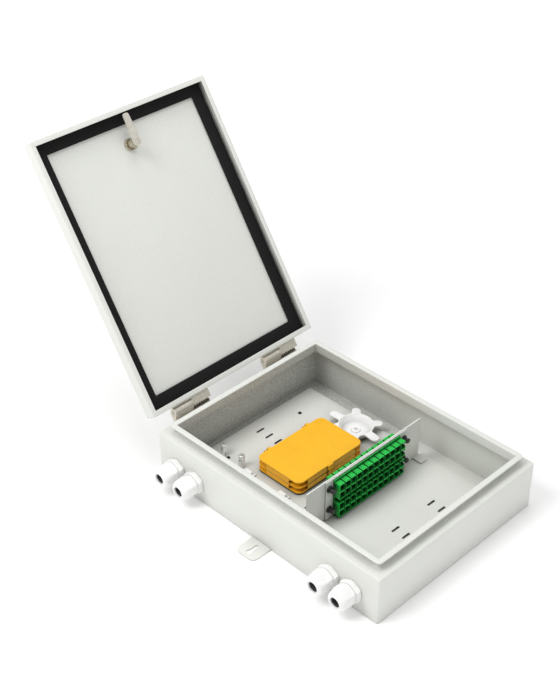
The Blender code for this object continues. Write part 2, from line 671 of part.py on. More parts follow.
def build_trays():
    pad = prism(tray_outline(0.0006), DECK, DECK + PAD_THICK)
    add_object("tray_pad", moved(pad, (TRAY_CENTRE_X, TRAY_CENTRE_Y, 0.0)), RUBBER)
    build_tray("splice_tray_lower", TRAY_1_Z, None, None)


# ---- adapter bracket ----
def row_cutouts(clear):
    cutters = []
    for z in ROW_Z:
        for k in range(PORTS_PER_ROW):
            y = FIRST_PORT_Y + PORT_PITCH * k
            cutters.append(block((0.0, y - ADAPTER_WIDTH / 2 - clear, z - ADAPTER_HEIGHT / 2 - clear),
                                 (0.06, y + ADAPTER_WIDTH / 2 + clear, z + ADAPTER_HEIGHT / 2 + clear)))
    return cutters


def plunger_holes(radius):
    return [moved(along_x(cylinder(radius, 0.0, 0.05, 12)),
                  (0.0, y, z)) for y in PLUNGER_Y for z in PLUNGER_Z]


def build_bracket():
    back = BRACKET_X - BRACKET_SHEET
    plate = add_object("adapter_bracket",
                       block((back, BRACKET_Y[0], DECK), (BRACKET_X, BRACKET_Y[1], BRACKET_TOP)),
                       STEEL_PAINT)
    foot = 0.0125
    for low, high in ((BRACKET_Y[0], BRACKET_Y[0] + foot), (BRACKET_Y[1] - foot, BRACKET_Y[1])):
        foot_low = (BRACKET_X - BRACKET_SHEET / 2, low, DECK)
        boolean(plate, block(foot_low, (BRACKET_X + 0.0160, high, DECK + BRACKET_SHEET)), "UNION")
    last = FIRST_PORT_Y + PORT_PITCH * (PORTS_PER_ROW - 1)
    side = ADAPTER_WIDTH / 2 + 0.0008
    boolean(plate, block((0.0, FIRST_PORT_Y - side, 0.0080), (0.06, last + side, 0.0666)))
    boolean(plate, gather(plunger_holes(0.0030)))
    front = BRACKET_X + GAP
    for name, (low, high) in zip(("adapter_panel_lower", "adapter_panel_upper"), PANEL_Z):
        panel = add_object(name, block((front, PANEL_Y[0], low), (front + SHEET, PANEL_Y[1], high)),
                           STEEL_PAINT)
        boolean(panel, gather(row_cutouts(GAP)))
        boolean(panel, gather(plunger_holes(0.0030)))


def build_adapters():
    """Blocks of duplex adapters: housings through the panel, joined by the flange in front of it."""
    flange_back = BRACKET_X + SHEET + 2 * GAP
    flange_front = flange_back + 0.0018
    for row, z in zip(("lower", "upper"), ROW_Z):
        for half in range(PORTS_PER_ROW // PORTS_PER_BLOCK):
            first = FIRST_PORT_Y + PORT_PITCH * PORTS_PER_BLOCK * half
            last = first + PORT_PITCH * (PORTS_PER_BLOCK - 1)
            side = PORT_PITCH / 2 - GAP / 2
            flange = block((flange_back, first - side, z - ADAPTER_FLANGE),
                           (flange_front, last + side, z + ADAPTER_FLANGE))
            adapters = add_object(f"adapters_{row}_{half + 1}", flange, GREEN)
            centres = [first + PORT_PITCH * k for k in range(PORTS_PER_BLOCK)]
            housings = [block((BRACKET_X - ADAPTER_BACK, y - ADAPTER_WIDTH / 2, z - ADAPTER_HEIGHT / 2),
                              (BRACKET_X + ADAPTER_FRONT, y + ADAPTER_WIDTH / 2, z + ADAPTER_HEIGHT / 2))
                        for y in centres]
            boolean(adapters, gather(housings), "UNION")
            ports = []
            for y in centres:
                for port_z in (z - 0.0062, z + 0.0062):
                    for low, high in ((BRACKET_X + ADAPTER_FRONT - 0.0120, 0.08), (0.0, BRACKET_X - 0.0050)):
                        ports.append(block((low, y - 0.0038, port_z - 0.0048),
                                           (high, y + 0.0038, port_z + 0.0048)))
            boolean(adapters, gather(ports))


def build_plungers():
    number = 0
    for y in PLUNGER_Y:
        for z in PLUNGER_Z:
            number += 1
            seat = BRACKET_X + SHEET + 2 * GAP
            hole = circle(0.0016, 12)
            stem = circle(0.0027, 12)
            flange = circle(0.0052, 12)
            grommet = loft(((hole, -0.0070), (stem, -0.0070), (stem, 0.0), (flange, 0.0), (flange, 0.0016),
                            (circle(0.0044, 12), 0.0026), (hole, 0.0026)), True)
            add_object(f"plunger_grommet_{number}", moved(along_x(grommet), (seat, y, z)), BLACK_NYLON)
            axis = add_axis(f"plunger_axis_{number}", (seat + 0.0026 + GAP, y, z))
            shaft = circle(0.0013, 12)
            knob = loft(((shaft, -0.0085), (shaft, 0.0), (circle(0.0030, 12), 0.0),
                         (circle(0.0030, 12), 0.0030),
                         (circle(0.0039, 12), 0.0036), (circle(0.0039, 12), 0.0056), (circle(0.0032, 12),
                                                                                      0.0062)))
            add_object(f"plunger_pin_{number}", along_x(knob), BLACK_NYLON, axis)


def build_moving_trays():
    axis_2 = (TRAY_HINGE_X, TRAY_CENTRE_Y, TRAY_2_Z - GAP - TRAY_KNUCKLE)
    axis_3 = (TRAY_HINGE_X, TRAY_CENTRE_Y, COVER_Z - GAP - TRAY_KNUCKLE)
    tray_axis = add_axis("tray_axis", axis_2)
    tray = build_tray("splice_tray_upper", TRAY_2_Z, tray_axis, axis_2)
    hang_on_pegs(tray, TRAY_2_Z, axis_2)
    boolean(tray, tray_local(snap_tongue(), TRAY_2_Z, axis_2), "UNION")
    cover_axis = add_axis("cover_axis", tuple(c - t for c, t in zip(axis_3, axis_2)), tray_axis)
    slab = loft(((tray_outline(0.0), 0.0), (tray_outline(0.0), COVER_THICK - 0.0005),
                 (tray_outline(0.0005), COVER_THICK)))
    cover = add_object("tray_cover", tray_local(slab, COVER_Z, axis_3), ORANGE, cover_axis)
    boolean(cover, tray_local(prism(rounded_outline(0.0150, 0.0260, 0.003), COVER_THICK - 0.0003, 0.01),
                              COVER_Z, axis_3))
    hang_on_pegs(cover, COVER_Z, axis_3)
    boolean(cover, tray_local(snap_tongue(), COVER_Z, axis_3), "UNION")


def snap_tongue():
    """A tongue on the +X side that snaps over the tray below, drawn from the base of its piece."""
    out = TRAY_HALF_X
    outline = ((out - 0.0006, 0.0005), (out + GAP, 0.0005), (out + GAP, -0.0056), (out + 0.0022, -0.0056),
               (out + 0.0032, -0.0044), (out + 0.0018, -0.0030), (out + 0.0018, 0.0016), (out - 0.0006,
                                                                                          0.0016))
    return side_prism(outline, -0.0082, 0.0014)


# ---- assembly ----
for existing in list(bpy.data.objects):
    bpy.data.objects.remove(existing, do_unlink=True)

build_enclosure()
build_lug("wall_lug_lower", -1)
build_lug("wall_lug_upper", 1)
hinge_axis = add_axis("lid_axis", (HINGE_X, 0.0, HINGE_Z), None, (0.0, -LID_OPEN_ANGLE, 0.0))
build_lid(hinge_axis)
for hinge_number, hinge_y in enumerate(HINGE_CENTRES, 1):
    build_hinge(hinge_number, hinge_y, hinge_axis)
build_lock(hinge_axis)
for gland_number, gland_x in enumerate(GLAND_X, 1):
    build_gland(gland_number, gland_x)
build_plate()
build_posts()
build_tie_mounts()
build_spool()
build_trays()
build_moving_trays()
build_bracket()
build_adapters()
build_plungers()
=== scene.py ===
"""Looks of a fiber termination box: a powder-coated wall box, lid open, with splice trays and adapters."""

import json
import math

import bmesh
import bpy
from mathutils import Matrix, Vector

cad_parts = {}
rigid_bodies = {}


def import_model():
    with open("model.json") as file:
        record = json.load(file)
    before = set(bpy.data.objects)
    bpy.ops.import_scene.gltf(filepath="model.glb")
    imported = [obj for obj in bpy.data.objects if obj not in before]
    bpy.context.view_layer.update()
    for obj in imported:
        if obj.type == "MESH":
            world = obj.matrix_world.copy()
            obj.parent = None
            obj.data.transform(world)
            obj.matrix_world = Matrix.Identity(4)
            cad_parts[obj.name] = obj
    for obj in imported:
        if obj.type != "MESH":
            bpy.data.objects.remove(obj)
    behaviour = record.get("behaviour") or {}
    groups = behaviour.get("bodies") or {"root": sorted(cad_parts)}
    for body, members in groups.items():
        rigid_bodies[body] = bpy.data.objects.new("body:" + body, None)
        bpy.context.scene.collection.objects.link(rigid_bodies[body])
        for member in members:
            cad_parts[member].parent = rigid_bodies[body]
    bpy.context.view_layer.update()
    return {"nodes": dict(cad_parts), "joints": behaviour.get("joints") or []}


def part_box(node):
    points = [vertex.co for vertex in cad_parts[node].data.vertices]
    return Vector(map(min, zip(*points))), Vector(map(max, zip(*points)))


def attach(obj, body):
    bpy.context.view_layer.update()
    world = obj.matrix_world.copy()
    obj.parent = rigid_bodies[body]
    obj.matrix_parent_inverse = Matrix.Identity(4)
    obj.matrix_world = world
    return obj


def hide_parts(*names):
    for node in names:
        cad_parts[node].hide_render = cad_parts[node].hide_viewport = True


for startup in list(bpy.data.objects):
    bpy.data.objects.remove(startup, do_unlink=True)
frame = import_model()
scene = bpy.context.scene

# ---- Camera ----
# A long lens stands off the corner between the gland side and the lock side. It looks down into the open
# box from well above the lid.
camera_data = bpy.data.cameras.new("camera")
camera_data.lens = 69.26
camera_data.sensor_width = 36.0
camera_data.clip_end = 50.0
camera = bpy.data.objects.new("camera", camera_data)
scene.collection.objects.link(camera)
camera_place = Vector((0.92558, -1.04707, 1.21751))
camera_aim = Vector((0.05974, -0.18050, 0.35185))
camera.location = camera_place
camera.rotation_euler = (camera_aim - camera_place).to_track_quat("-Z", "Y").to_euler()
scene.camera = camera

# ---- Studio ----
# A white sweep under soft light from above and from the gland side, as for a catalogue. The sweep glows
# more towards its far ends, so that it runs into a white background.
scene.view_settings.view_transform = "Standard"
world = bpy.data.worlds.new("studio")
scene.world = world
world.use_nodes = True
sky = world.node_tree
sky.nodes["Background"].inputs["Color"].default_value = (1.0, 1.0, 1.0, 1.0)
seen = sky.nodes.new("ShaderNodeLightPath")
glow = sky.nodes.new("ShaderNodeMapRange")
glow.inputs["To Min"].default_value = 0.52
glow.inputs["To Max"].default_value = 1.0
sky.links.new(seen.outputs["Is Camera Ray"], glow.inputs["Value"])
sky.links.new(glow.outputs["Result"], sky.nodes["Background"].inputs["Strength"])


def soft_light(name, place, aim, width, height, power):
    lamp = bpy.data.lights.new(name, "AREA")
    lamp.shape = "RECTANGLE"
    lamp.size = width
    lamp.size_y = height
    lamp.energy = power
    made = bpy.data.objects.new(name, lamp)
    scene.collection.objects.link(made)
    made.location = place
    made.rotation_euler = (Vector(aim) - Vector(place)).to_track_quat("-Z", "Y").to_euler()
    return made


soft_light("key_light", (-0.6, -1.5, 2.2), (0.0, 0.0, 0.1), 1.1, 1.1, 32.0)
soft_light("top_light", (-0.3, 0.2, 2.7), (0.1, 0.0, 0.0), 1.6, 1.6, 20.0)
soft_light("side_light", (1.25, -0.35, 0.95), (-0.1, 0.0, 0.15), 0.7, 0.5, 3.0)

floor_mesh = bpy.data.meshes.new("floor")
sweep = bmesh.new()
bmesh.ops.create_grid(sweep, x_segments=1, y_segments=1, size=30.0)
sweep.to_mesh(floor_mesh)
sweep.free()
floor = bpy.data.objects.new("floor", floor_mesh)
scene.collection.objects.link(floor)
floor.location = (0.0, 0.0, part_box("enclosure")[0].z - 0.0004)
floor_paint = bpy.data.materials.new("sweep_paper")
floor_paint.use_nodes = True
floor_shader = floor_paint.node_tree.nodes["Principled BSDF"]
floor_shader.inputs["Base Color"].default_value = (0.90, 0.90, 0.90, 1.0)
floor_shader.inputs["Roughness"].default_value = 0.9
floor_shader.inputs["Specular IOR Level"].default_value = 0.1
floor_shader.inputs["Emission Color"].default_value = (1.0, 1.0, 1.0, 1.0)
paper = floor_paint.node_tree
paper_place = paper.nodes.new("ShaderNodeTexCoord")
paper_reach = paper.nodes.new("ShaderNodeVectorMath")
paper_reach.operation = "LENGTH"
paper_glow = paper.nodes.new("ShaderNodeMapRange")
for name, value in (("From Min", 0.5), ("From Max", 2.6), ("To Min", 0.10), ("To Max", 0.70)):
    paper_glow.inputs[name].default_value = value
paper.links.new(paper_place.outputs["Object"], paper_reach.inputs[0])
paper.links.new(paper_reach.outputs["Value"], paper_glow.inputs["Value"])
paper.links.new(paper_glow.outputs["Result"], floor_shader.inputs["Emission Strength"])
floor_mesh.materials.append(floor_paint)

# ---- Enclosure ----
# A tray folded from 1.5 mm steel sheet and welded at its corners, with a shoulder, a collar and a lip
# round the opening. It is powder coated light grey, with the fine pebbled surface of that paint.


def surface(name, base, roughness, metallic=0.0):
    """A Principled material with Object coordinates wired to a shared vector, returned with its handles."""
    made = bpy.data.materials.new(name)
    made.use_nodes = True
    tree = made.node_tree
    shader = tree.nodes["Principled BSDF"]
    shader.inputs["Base Color"].default_value = (*base, 1.0)
    shader.inputs["Roughness"].default_value = roughness
    shader.inputs["Metallic"].default_value = metallic
    coords = tree.nodes.new("ShaderNodeTexCoord")
    return made, tree, shader, coords.outputs["Object"]


def noise(tree, vector, scale, detail=2.0, roughness=0.5):
    node = tree.nodes.new("ShaderNodeTexNoise")
    node.inputs["Scale"].default_value = scale
    node.inputs["Detail"].default_value = detail
    node.inputs["Roughness"].default_value = roughness
    tree.links.new(vector, node.inputs["Vector"])
    return node.outputs["Fac"]


def remap(tree, value, low, high):
    node = tree.nodes.new("ShaderNodeMapRange")
    node.inputs["From Min"].default_value = 0.3
    node.inputs["From Max"].default_value = 0.7
    node.inputs["To Min"].default_value = low
    node.inputs["To Max"].default_value = high
    tree.links.new(value, node.inputs["Value"])
    return node.outputs["Result"]


def blend_colours(tree, factor, first, second):
    """A blend of two colours, each given as three channels or as another node's output."""
    node = tree.nodes.new("ShaderNodeMix")
    node.data_type = "RGBA"
    for side, colour in (("A", first), ("B", second)):
        if isinstance(colour, tuple):
            node.inputs[side].default_value = (*colour, 1.0)
        else:
            tree.links.new(colour, node.inputs[side])
    tree.links.new(factor, node.inputs["Factor"])
    return node.outputs["Result"]


def multiply_colours(tree, first, second):
    node = tree.nodes.new("ShaderNodeMix")
    node.data_type = "RGBA"
    node.blend_type = "MULTIPLY"
    node.inputs["Factor"].default_value = 1.0
    tree.links.new(first, node.inputs["A"])
    tree.links.new(second, node.inputs["B"])
    return node.outputs["Result"]


def mottle(tree, pattern, base, darker, lighter):
    """The base colour drifting between a darker and a lighter shade of itself along a pattern."""
    shades = [tuple(min(1.0, shade * channel) for channel in base) for shade in (darker, lighter)]
    return blend_colours(tree, remap(tree, pattern, 0.0, 1.0), *shades)


def emboss(tree, shader, heights):
    """Chain bumps, each (height value, depth in metres), onto the shader's normal."""
    previous = None
    for height, depth in heights:
        node = tree.nodes.new("ShaderNodeBump")
        node.inputs["Strength"].default_value = 1.0
        node.inputs["Distance"].default_value = depth
        tree.links.new(height, node.inputs["Height"])
        if previous:
            tree.links.new(previous, node.inputs["Normal"])
        previous = node.outputs["Normal"]
    tree.links.new(previous, shader.inputs["Normal"])


def painted_corner_shade(tree, shader, reach, strength):
    """Painted shade: ambient occlusion darkens the base colour in slots and corners within this reach."""
    base_colour = shader.inputs["Base Color"]
    depth = tree.nodes.new("ShaderNodeAmbientOcclusion")
    depth.samples = 6
    depth.inputs["Distance"].default_value = reach
    power = tree.nodes.new("ShaderNodeMath")
    power.operation = "POWER"
    power.inputs[1].default_value = strength
    tree.links.new(depth.outputs["AO"], power.inputs[0])
    shaded = multiply_colours(tree, base_colour.links[0].from_socket, power.outputs["Value"])
    tree.links.new(shaded, base_colour)


def powder_coat(name, base, pebble, corner_shade=0.0, shade_end=1.0):
    """Powder coat: pebbles about a millimetre apart, a finer grain, and speckles a shade darker.

    A shade end below 1 paints shade into the coat: towards the hinge side its colour falls to this share of
    its brightness, with flecks, as painted shade in the hollow of the box.
    """
    made, tree, shader, place = surface(name, base, 0.46)
    base_colour = shader.inputs["Base Color"]
    pebbles = noise(tree, place, 560.0, 2.0, 0.6)
    grain = noise(tree, place, 2600.0, 1.0, 0.5)
    clouds = noise(tree, place, 9.0, 3.0, 0.5)
    drift = blend_colours(tree, remap(tree, clouds, 0.0, 1.0), (0.975, 0.975, 0.97), (1.0, 1.0, 1.0))
    tree.links.new(multiply_colours(tree, mottle(tree, pebbles, base, 0.94, 1.015), drift), base_colour)
    # Painted shade: the coat is darkened in its corners and hollows.
    if corner_shade:
        painted_corner_shade(tree, shader, 0.03, corner_shade)
    # Painted shade: darker with flecks towards the hinge side (low X), fading out by X = 0.08 m.
    if shade_end < 1.0:
        along = tree.nodes.new("ShaderNodeSeparateXYZ")
        tree.links.new(place, along.inputs["Vector"])
        cover = tree.nodes.new("ShaderNodeMapRange")
        cover.inputs["From Min"].default_value = -0.19
        cover.inputs["From Max"].default_value = 0.08
        tree.links.new(along.outputs["X"], cover.inputs["Value"])
        flecks = noise(tree, place, 480.0, 2.0, 0.7)
        speckled_shade = mottle(tree, flecks, (shade_end,) * 3, 0.66, 1.3)
        painted_shade_ramp = blend_colours(tree, cover.outputs["Result"], speckled_shade, (1.0, 1.0, 1.0))
        tree.links.new(multiply_colours(tree, base_colour.links[0].from_socket, painted_shade_ramp), base_colour)
    tree.links.new(remap(tree, grain, 0.40, 0.54), shader.inputs["Roughness"])
    emboss(tree, shader, ((pebbles, pebble), (grain, pebble * 0.25)))
    return made


coat_grey = (0.745, 0.755, 0.715)
# The box's coat has a little painted shade in its corners.
box_coat = powder_coat("box_powder_coat", coat_grey, 0.00008, 0.12)


def ring_outline(half_x, half_y, radius, steps):
    """A rectangle with round corners, anticlockwise, centred on the origin."""
    radius = max(radius, 0.0004)
    points = []
    for index, (sign_x, sign_y) in enumerate(((1, 1), (-1, 1), (-1, -1), (1, -1))):
        centre = Vector((sign_x * (half_x - radius), sign_y * (half_y - radius)))
        for step in range(steps + 1):
            angle = math.radians(90 * index + 90 * step / steps)
            points.append(centre + radius * Vector((math.cos(angle), math.sin(angle))))
    return points


def eased_profile(corners, radius, steps=3):
    """Round each corner of a closed profile of (inset, height) points. A point may add its own radius."""
    made = []
    count = len(corners)
    for index, corner in enumerate(corners):
        here = Vector(corner[:2])
        back = Vector(corners[index - 1][:2]) - here
        ahead = Vector(corners[(index + 1) % count][:2]) - here
        reach = min(corner[2] if len(corner) > 2 else radius, back.length * 0.45, ahead.length * 0.45)
        start = here + back.normalized() * reach
        end = here + ahead.normalized() * reach
        for step in range(steps + 1):
            t = step / steps
            made.append((1 - t) ** 2 * start + 2 * t * (1 - t) * here + t * t * end)
    return made


def loft(rings, closed=False):
    """Join outlines of equal length, each (points, height): capped, or end to end as a ring-shaped body."""
    mesh_data = bmesh.new()
    loops = [[mesh_data.verts.new((p.x, p.y, height)) for p in points] for points, height in rings]
    pairs = list(zip(loops, loops[1:]))
    if closed:
        pairs.append((loops[-1], loops[0]))
    for low, high in pairs:
        count = len(low)
        for k in range(count):
            mesh_data.faces.new((low[k], low[(k + 1) % count], high[(k + 1) % count], high[k]))
    if not closed:
        mesh_data.faces.new(list(reversed(loops[0])))
        mesh_data.faces.new(loops[-1])
    return mesh_data


def to_mesh(name, mesh_data, crease=35.0):
    bmesh.ops.recalc_face_normals(mesh_data, faces=mesh_data.faces)
    mesh = bpy.data.meshes.new(name)
    mesh_data.to_mesh(mesh)
    mesh_data.free()
    mesh.shade_smooth()
    mesh.set_sharp_from_angle(angle=math.radians(crease))
    return mesh


def evaluated_mesh(holder):
    """The plain mesh of an object with its modifiers applied. The object itself is removed."""
    graph = bpy.context.evaluated_depsgraph_get()
    mesh = bpy.data.meshes.new_from_object(holder.evaluated_get(graph))
    bpy.data.objects.remove(holder, do_unlink=True)
    return mesh


def carve(mesh, cutters, crease=35.0):
    """Cut bmesh cutters out of a mesh, one after another."""
    holder = bpy.data.objects.new("carving", mesh)
    scene.collection.objects.link(holder)
    tools = []
    for cutter in cutters:
        tool = bpy.data.objects.new("cutter", to_mesh("cutter", cutter))
        scene.collection.objects.link(tool)
        tools.append(tool)
        modifier = holder.modifiers.new("cut", "BOOLEAN")
        modifier.object = tool
    carved = evaluated_mesh(holder)
    carved.shade_smooth()
    carved.set_sharp_from_angle(angle=math.radians(crease))
    for tool in tools:
        bpy.data.objects.remove(tool, do_unlink=True)
    return carved


def ease_edges(mesh, width, segments=2, angle=30.0):
    """Round the edges of a mesh sharper than this angle, with the flat areas left flat in the shading."""
    mesh.shade_smooth()
    holder = bpy.data.objects.new("easing", mesh)
    scene.collection.objects.link(holder)
    modifier = holder.modifiers.new("ease", "BEVEL")
    modifier.width = width
    modifier.segments = segments
    modifier.limit_method = "ANGLE"
    modifier.angle_limit = math.radians(angle)
    weighted = holder.modifiers.new("flat_areas", "WEIGHTED_NORMAL")
    weighted.weight = 100
    return evaluated_mesh(holder)


def place_piece(name, mesh, material, body, slot, *nodes):
    """Put a finished mesh in the scene, let it stand for its CAD nodes and ride on its body."""
    mesh.name = name
    mesh.materials.clear()
    mesh.materials.append(material)
    piece = bpy.data.objects.new(name, mesh)
    scene.collection.objects.link(piece)
    if nodes:
        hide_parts(*nodes)
    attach(piece, body)
    return piece


def round_cutter(radius, low, high, centre=(0.0, 0.0), sides=48):
    angles = [math.tau * k / sides for k in range(sides)]
    circle = [Vector((centre[0] + radius * math.cos(a), centre[1] + radius * math.sin(a))) for a in angles]
    return loft(((circle, low), (circle, high)))


def turned_to_y(mesh_data):
    """Turn a body drawn along +Z so that it runs along -Y."""
    bmesh.ops.transform(mesh_data, matrix=Matrix.Rotation(math.radians(90), 4, "X"), verts=mesh_data.verts)
    return mesh_data


def moved(mesh_data, offset):
    bmesh.ops.translate(mesh_data, verts=mesh_data.verts, vec=Vector(offset))
    return mesh_data


box_low, box_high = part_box("enclosure")
half_length = box_high.x
half_width = box_high.y
rim = box_high.z
shoulder = 0.0724
sheet = 0.0015
collar = 0.0184
lip = 0.0080
box_profile = eased_profile((
    (0.0, 0.0, 0.0012), (0.0, shoulder, 0.0014), (collar - sheet, shoulder, 0.0007),
    (collar - sheet, rim - sheet, 0.0007), (collar - lip, rim - sheet, 0.0003), (collar - lip, rim, 0.0006),
    (collar, rim, 0.0013), (collar, shoulder - sheet, 0.0003), (sheet, shoulder - sheet, 0.0006),
    (sheet, sheet, 0.0006)), 0.0006)
lip_corner = 0.0065
fold_corner = 0.0026
gland_hole = 0.0126
rings = []
for inset, height in box_profile:
    on_lip = inset < collar - sheet - 0.0002 and height > shoulder + sheet
    corner = lip_corner if on_lip else fold_corner - 0.3 * inset
    rings.append((ring_outline(half_length - inset, half_width - inset, corner, 6), height))
shell = loft(rings)
gland_centres = [(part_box(f"gland_body_{k}")[0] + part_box(f"gland_body_{k}")[1]) / 2 for k in range(1, 5)]
entries = [moved(turned_to_y(round_cutter(gland_hole, 0.0, 0.008)), (centre.x, -half_width + 0.005, centre.z))
           for centre in gland_centres]
enclosure = place_piece("enclosure_shell", carve(to_mesh("enclosure_shell", shell), entries), box_coat, "box",
                        "powder_coat", "enclosure")
# The inside of the box takes a second coat with painted shade: darker towards the hinge side, and in corners.
shaded_inside_coat = powder_coat("inside_coat_painted_shade", coat_grey, 0.00014, 0.12, 0.66)
enclosure.data.materials.append(shaded_inside_coat)
# Faces inside the box, below the top of the lip, take the coat with painted shade.
for face in enclosure.data.polygons:
    centre = face.center
    margin = 0.0177 if centre.z > shoulder - sheet / 2 else sheet / 2
    inside = abs(centre.x) < half_length - margin and abs(centre.y) < half_width - margin
    face.material_index = int(inside and centre.z < rim - 0.0012)

# ---- Wall lugs ----
# Two tongues of 2 mm steel welded flush with the rear face, one at each end, each with a keyhole for a
# wall screw. They are coated with the box.


def cad_copy(node):
    """A merged copy of a CAD node's mesh with its flat areas made whole."""
    mesh_data = bmesh.new()
    mesh_data.from_mesh(frame["nodes"][node].data)
    bmesh.ops.remove_doubles(mesh_data, verts=mesh_data.verts, dist=1e-6)
    bmesh.ops.dissolve_limit(mesh_data, angle_limit=math.radians(1.0), verts=mesh_data.verts,
                             edges=mesh_data.edges)
    mesh = bpy.data.meshes.new(node)
    mesh_data.to_mesh(mesh)
    mesh_data.free()
    return mesh


def eased_node(node, name, width, material, body, slot, segments=2, angle=30.0):
    """A CAD node's shape with its edges eased, as a piece that stands for it."""
    return place_piece(name, ease_edges(cad_copy(node), width, segments, angle), material, body, slot, node)


for end in ("lower", "upper"):
    eased_node(f"wall_lug_{end}", f"lug_plate_{end}", 0.0004, box_coat, "box", "powder_coat")

# ---- Lid ----
# A shallow pan of the same sheet whose edge is turned inwards by 7 mm. It is folded, welded at the corners
# and coated like the box. It is drawn closed, then swung open about the hinge.
lid_hinge = next(joint for joint in frame["joints"] if joint["name"] == "lid_hinge")
hinge_point = Vector(lid_hinge["pos_m"])
open_angle = -math.radians(lid_hinge["range_deg"][0])
swing = (Matrix.Translation(hinge_point) @ Matrix.Rotation(open_angle, 4, Vector(lid_hinge["axis"]))
         @ Matrix.Translation(-hinge_point))


def swung(mesh_data):
    bmesh.ops.transform(mesh_data, matrix=swing, verts=mesh_data.verts)
    return mesh_data


lid_edge = shoulder + 0.0010
lid_top = lid_edge + 0.0168
lid_lip = 0.0073
lock_x = 0.1486
lock_hole = 0.0071
lid_profile = eased_profile((
    (0.0, lid_top, 0.0014), (0.0, lid_edge, 0.0010), (lid_lip, lid_edge, 0.0003),
    (lid_lip, lid_edge + sheet, 0.0003), (sheet, lid_edge + sheet, 0.0006), (sheet, lid_top - sheet, 0.0006),
), 0.0006)
lid_pan = loft([(ring_outline(half_length - inset, half_width - inset, fold_corner - 0.3 * inset, 6), height)
                for inset, height in lid_profile])
lid_mesh = carve(to_mesh("lid_pan", lid_pan),
                 [round_cutter(lock_hole, lid_edge, lid_top + 0.01, (lock_x, 0.0))])
lid_mesh.transform(swing)
place_piece("lid_pan", lid_mesh, box_coat, "lid", "powder_coat", "lid")

# ---- Lid gasket ----
# A flat strip of black foam rubber, stuck round the inside of the lid so that it meets the box's lip. Its
# cut cells leave small pits.


def foam_rubber(name, base):
    made, tree, shader, place = surface(name, base, 0.85)
    shader.inputs["Specular IOR Level"].default_value = 0.3
    cells = tree.nodes.new("ShaderNodeTexVoronoi")
    cells.inputs["Scale"].default_value = 900.0
    tree.links.new(place, cells.inputs["Vector"])
    uneven = noise(tree, place, 160.0, 3.0, 0.6)
    tree.links.new(mottle(tree, uneven, base, 0.7, 1.5), shader.inputs["Base Color"])
    tree.links.new(remap(tree, uneven, 0.74, 0.95), shader.inputs["Roughness"])
    emboss(tree, shader, ((cells.outputs["Distance"], 0.00035), (uneven, 0.0002)))
    return made


# Black foam rubber for the gasket, also used for the pad that is painted shadow under the trays.
foam_and_painted_shadow = foam_rubber("gasket_foam_rubber", (0.006, 0.006, 0.006))
gasket_outer = (0.1960, 0.1483)
gasket_width = 0.0190
gasket_top = lid_top - sheet - 0.0003
gasket_face = gasket_top - 0.0030
gasket_profile = eased_profile(
    ((0.0, gasket_top), (0.0, gasket_face), (gasket_width, gasket_face), (gasket_width, gasket_top)), 0.0007)
gasket = loft([(ring_outline(gasket_outer[0] - inset, gasket_outer[1] - inset, 0.0008, 4), height)
               for inset, height in gasket_profile], True)
place_piece("gasket_strip", to_mesh("gasket_strip", swung(gasket)), foam_and_painted_shadow, "lid", "gasket_foam", "lid_gasket")

# ---- Hinges ----
# Two steel hinges, zinc plated to a warm dull grey. Each has a leaf welded to the box, a leaf welded to the
# lid, and a pin through the barrel that they share. Under the lid's half of the barrel, a black strip is
# painted shadow in the gap, with plated teeth along it.


def zinc_plate(name, base, roughness, shine=0.85):
    made, tree, shader, place = surface(name, base, roughness, shine)
    blotches = noise(tree, place, 220.0, 4.0, 0.6)
    fine = noise(tree, place, 1800.0, 2.0, 0.5)
    tree.links.new(mottle(tree, blotches, base, 0.86, 1.08), shader.inputs["Base Color"])
    tree.links.new(remap(tree, blotches, roughness - 0.07, roughness + 0.09), shader.inputs["Roughness"])
    emboss(tree, shader, ((fine, 0.00002),))
    return made


def add_socket(tree, name, kind, way="INPUT"):
    return tree.interface.new_socket(name, in_out=way, socket_type=kind)


def row_group():
    """Copies of a template in a row along Y, with one finish."""
    tree = bpy.data.node_groups.new("row_of_copies", "GeometryNodeTree")
    add_socket(tree, "Row", "NodeSocketGeometry", "OUTPUT")
    add_socket(tree, "Start", "NodeSocketGeometry")
    sockets = {name: add_socket(tree, name, kind).identifier for name, kind in (
        ("Template", "NodeSocketObject"), ("Count", "NodeSocketInt"), ("First Place", "NodeSocketVector"),
        ("Pitch", "NodeSocketFloat"), ("Finish", "NodeSocketMaterial"))}
    nodes = tree.nodes
    given = nodes.new("NodeGroupInput")
    line = nodes.new("GeometryNodeMeshLine")
    step = nodes.new("ShaderNodeCombineXYZ")
    source = nodes.new("GeometryNodeObjectInfo")
    copies = nodes.new("GeometryNodeInstanceOnPoints")
    realise = nodes.new("GeometryNodeRealizeInstances")
    paint = nodes.new("GeometryNodeSetMaterial")
    result = nodes.new("NodeGroupOutput")
    for start, end in (
            (given.outputs["Count"], line.inputs["Count"]),
            (given.outputs["First Place"], line.inputs["Start Location"]),
            (given.outputs["Pitch"], step.inputs["Y"]),
            (step.outputs["Vector"], line.inputs["Offset"]),
            (given.outputs["Template"], source.inputs["Object"]),
            (line.outputs["Mesh"], copies.inputs["Points"]),
            (source.outputs["Geometry"], copies.inputs["Instance"]),
            (copies.outputs["Instances"], realise.inputs["Geometry"]),
            (realise.outputs["Geometry"], paint.inputs["Geometry"]),
            (given.outputs["Finish"], paint.inputs["Material"]),
            (paint.outputs["Geometry"], result.inputs["Row"])):
        tree.links.new(start, end)
    return tree, sockets


def grown(group, template, points, values):
    """The plain mesh that a node group makes from a template mesh and some points."""
    tree, sockets = group
    source = bpy.data.objects.new("template", template)
    start = bpy.data.meshes.new("start")
    start.from_pydata([tuple(point) for point in points], [], [])
    holder = bpy.data.objects.new("grower", start)
    scene.collection.objects.link(source)
    scene.collection.objects.link(holder)
    modifier = holder.modifiers.new("grow", "NODES")
    modifier.node_group = tree
    modifier[sockets["Template"]] = source
    for name, value in values.items():
        modifier[sockets[name]] = value
    mesh = evaluated_mesh(holder)
    bpy.data.objects.remove(source, do_unlink=True)
    return mesh


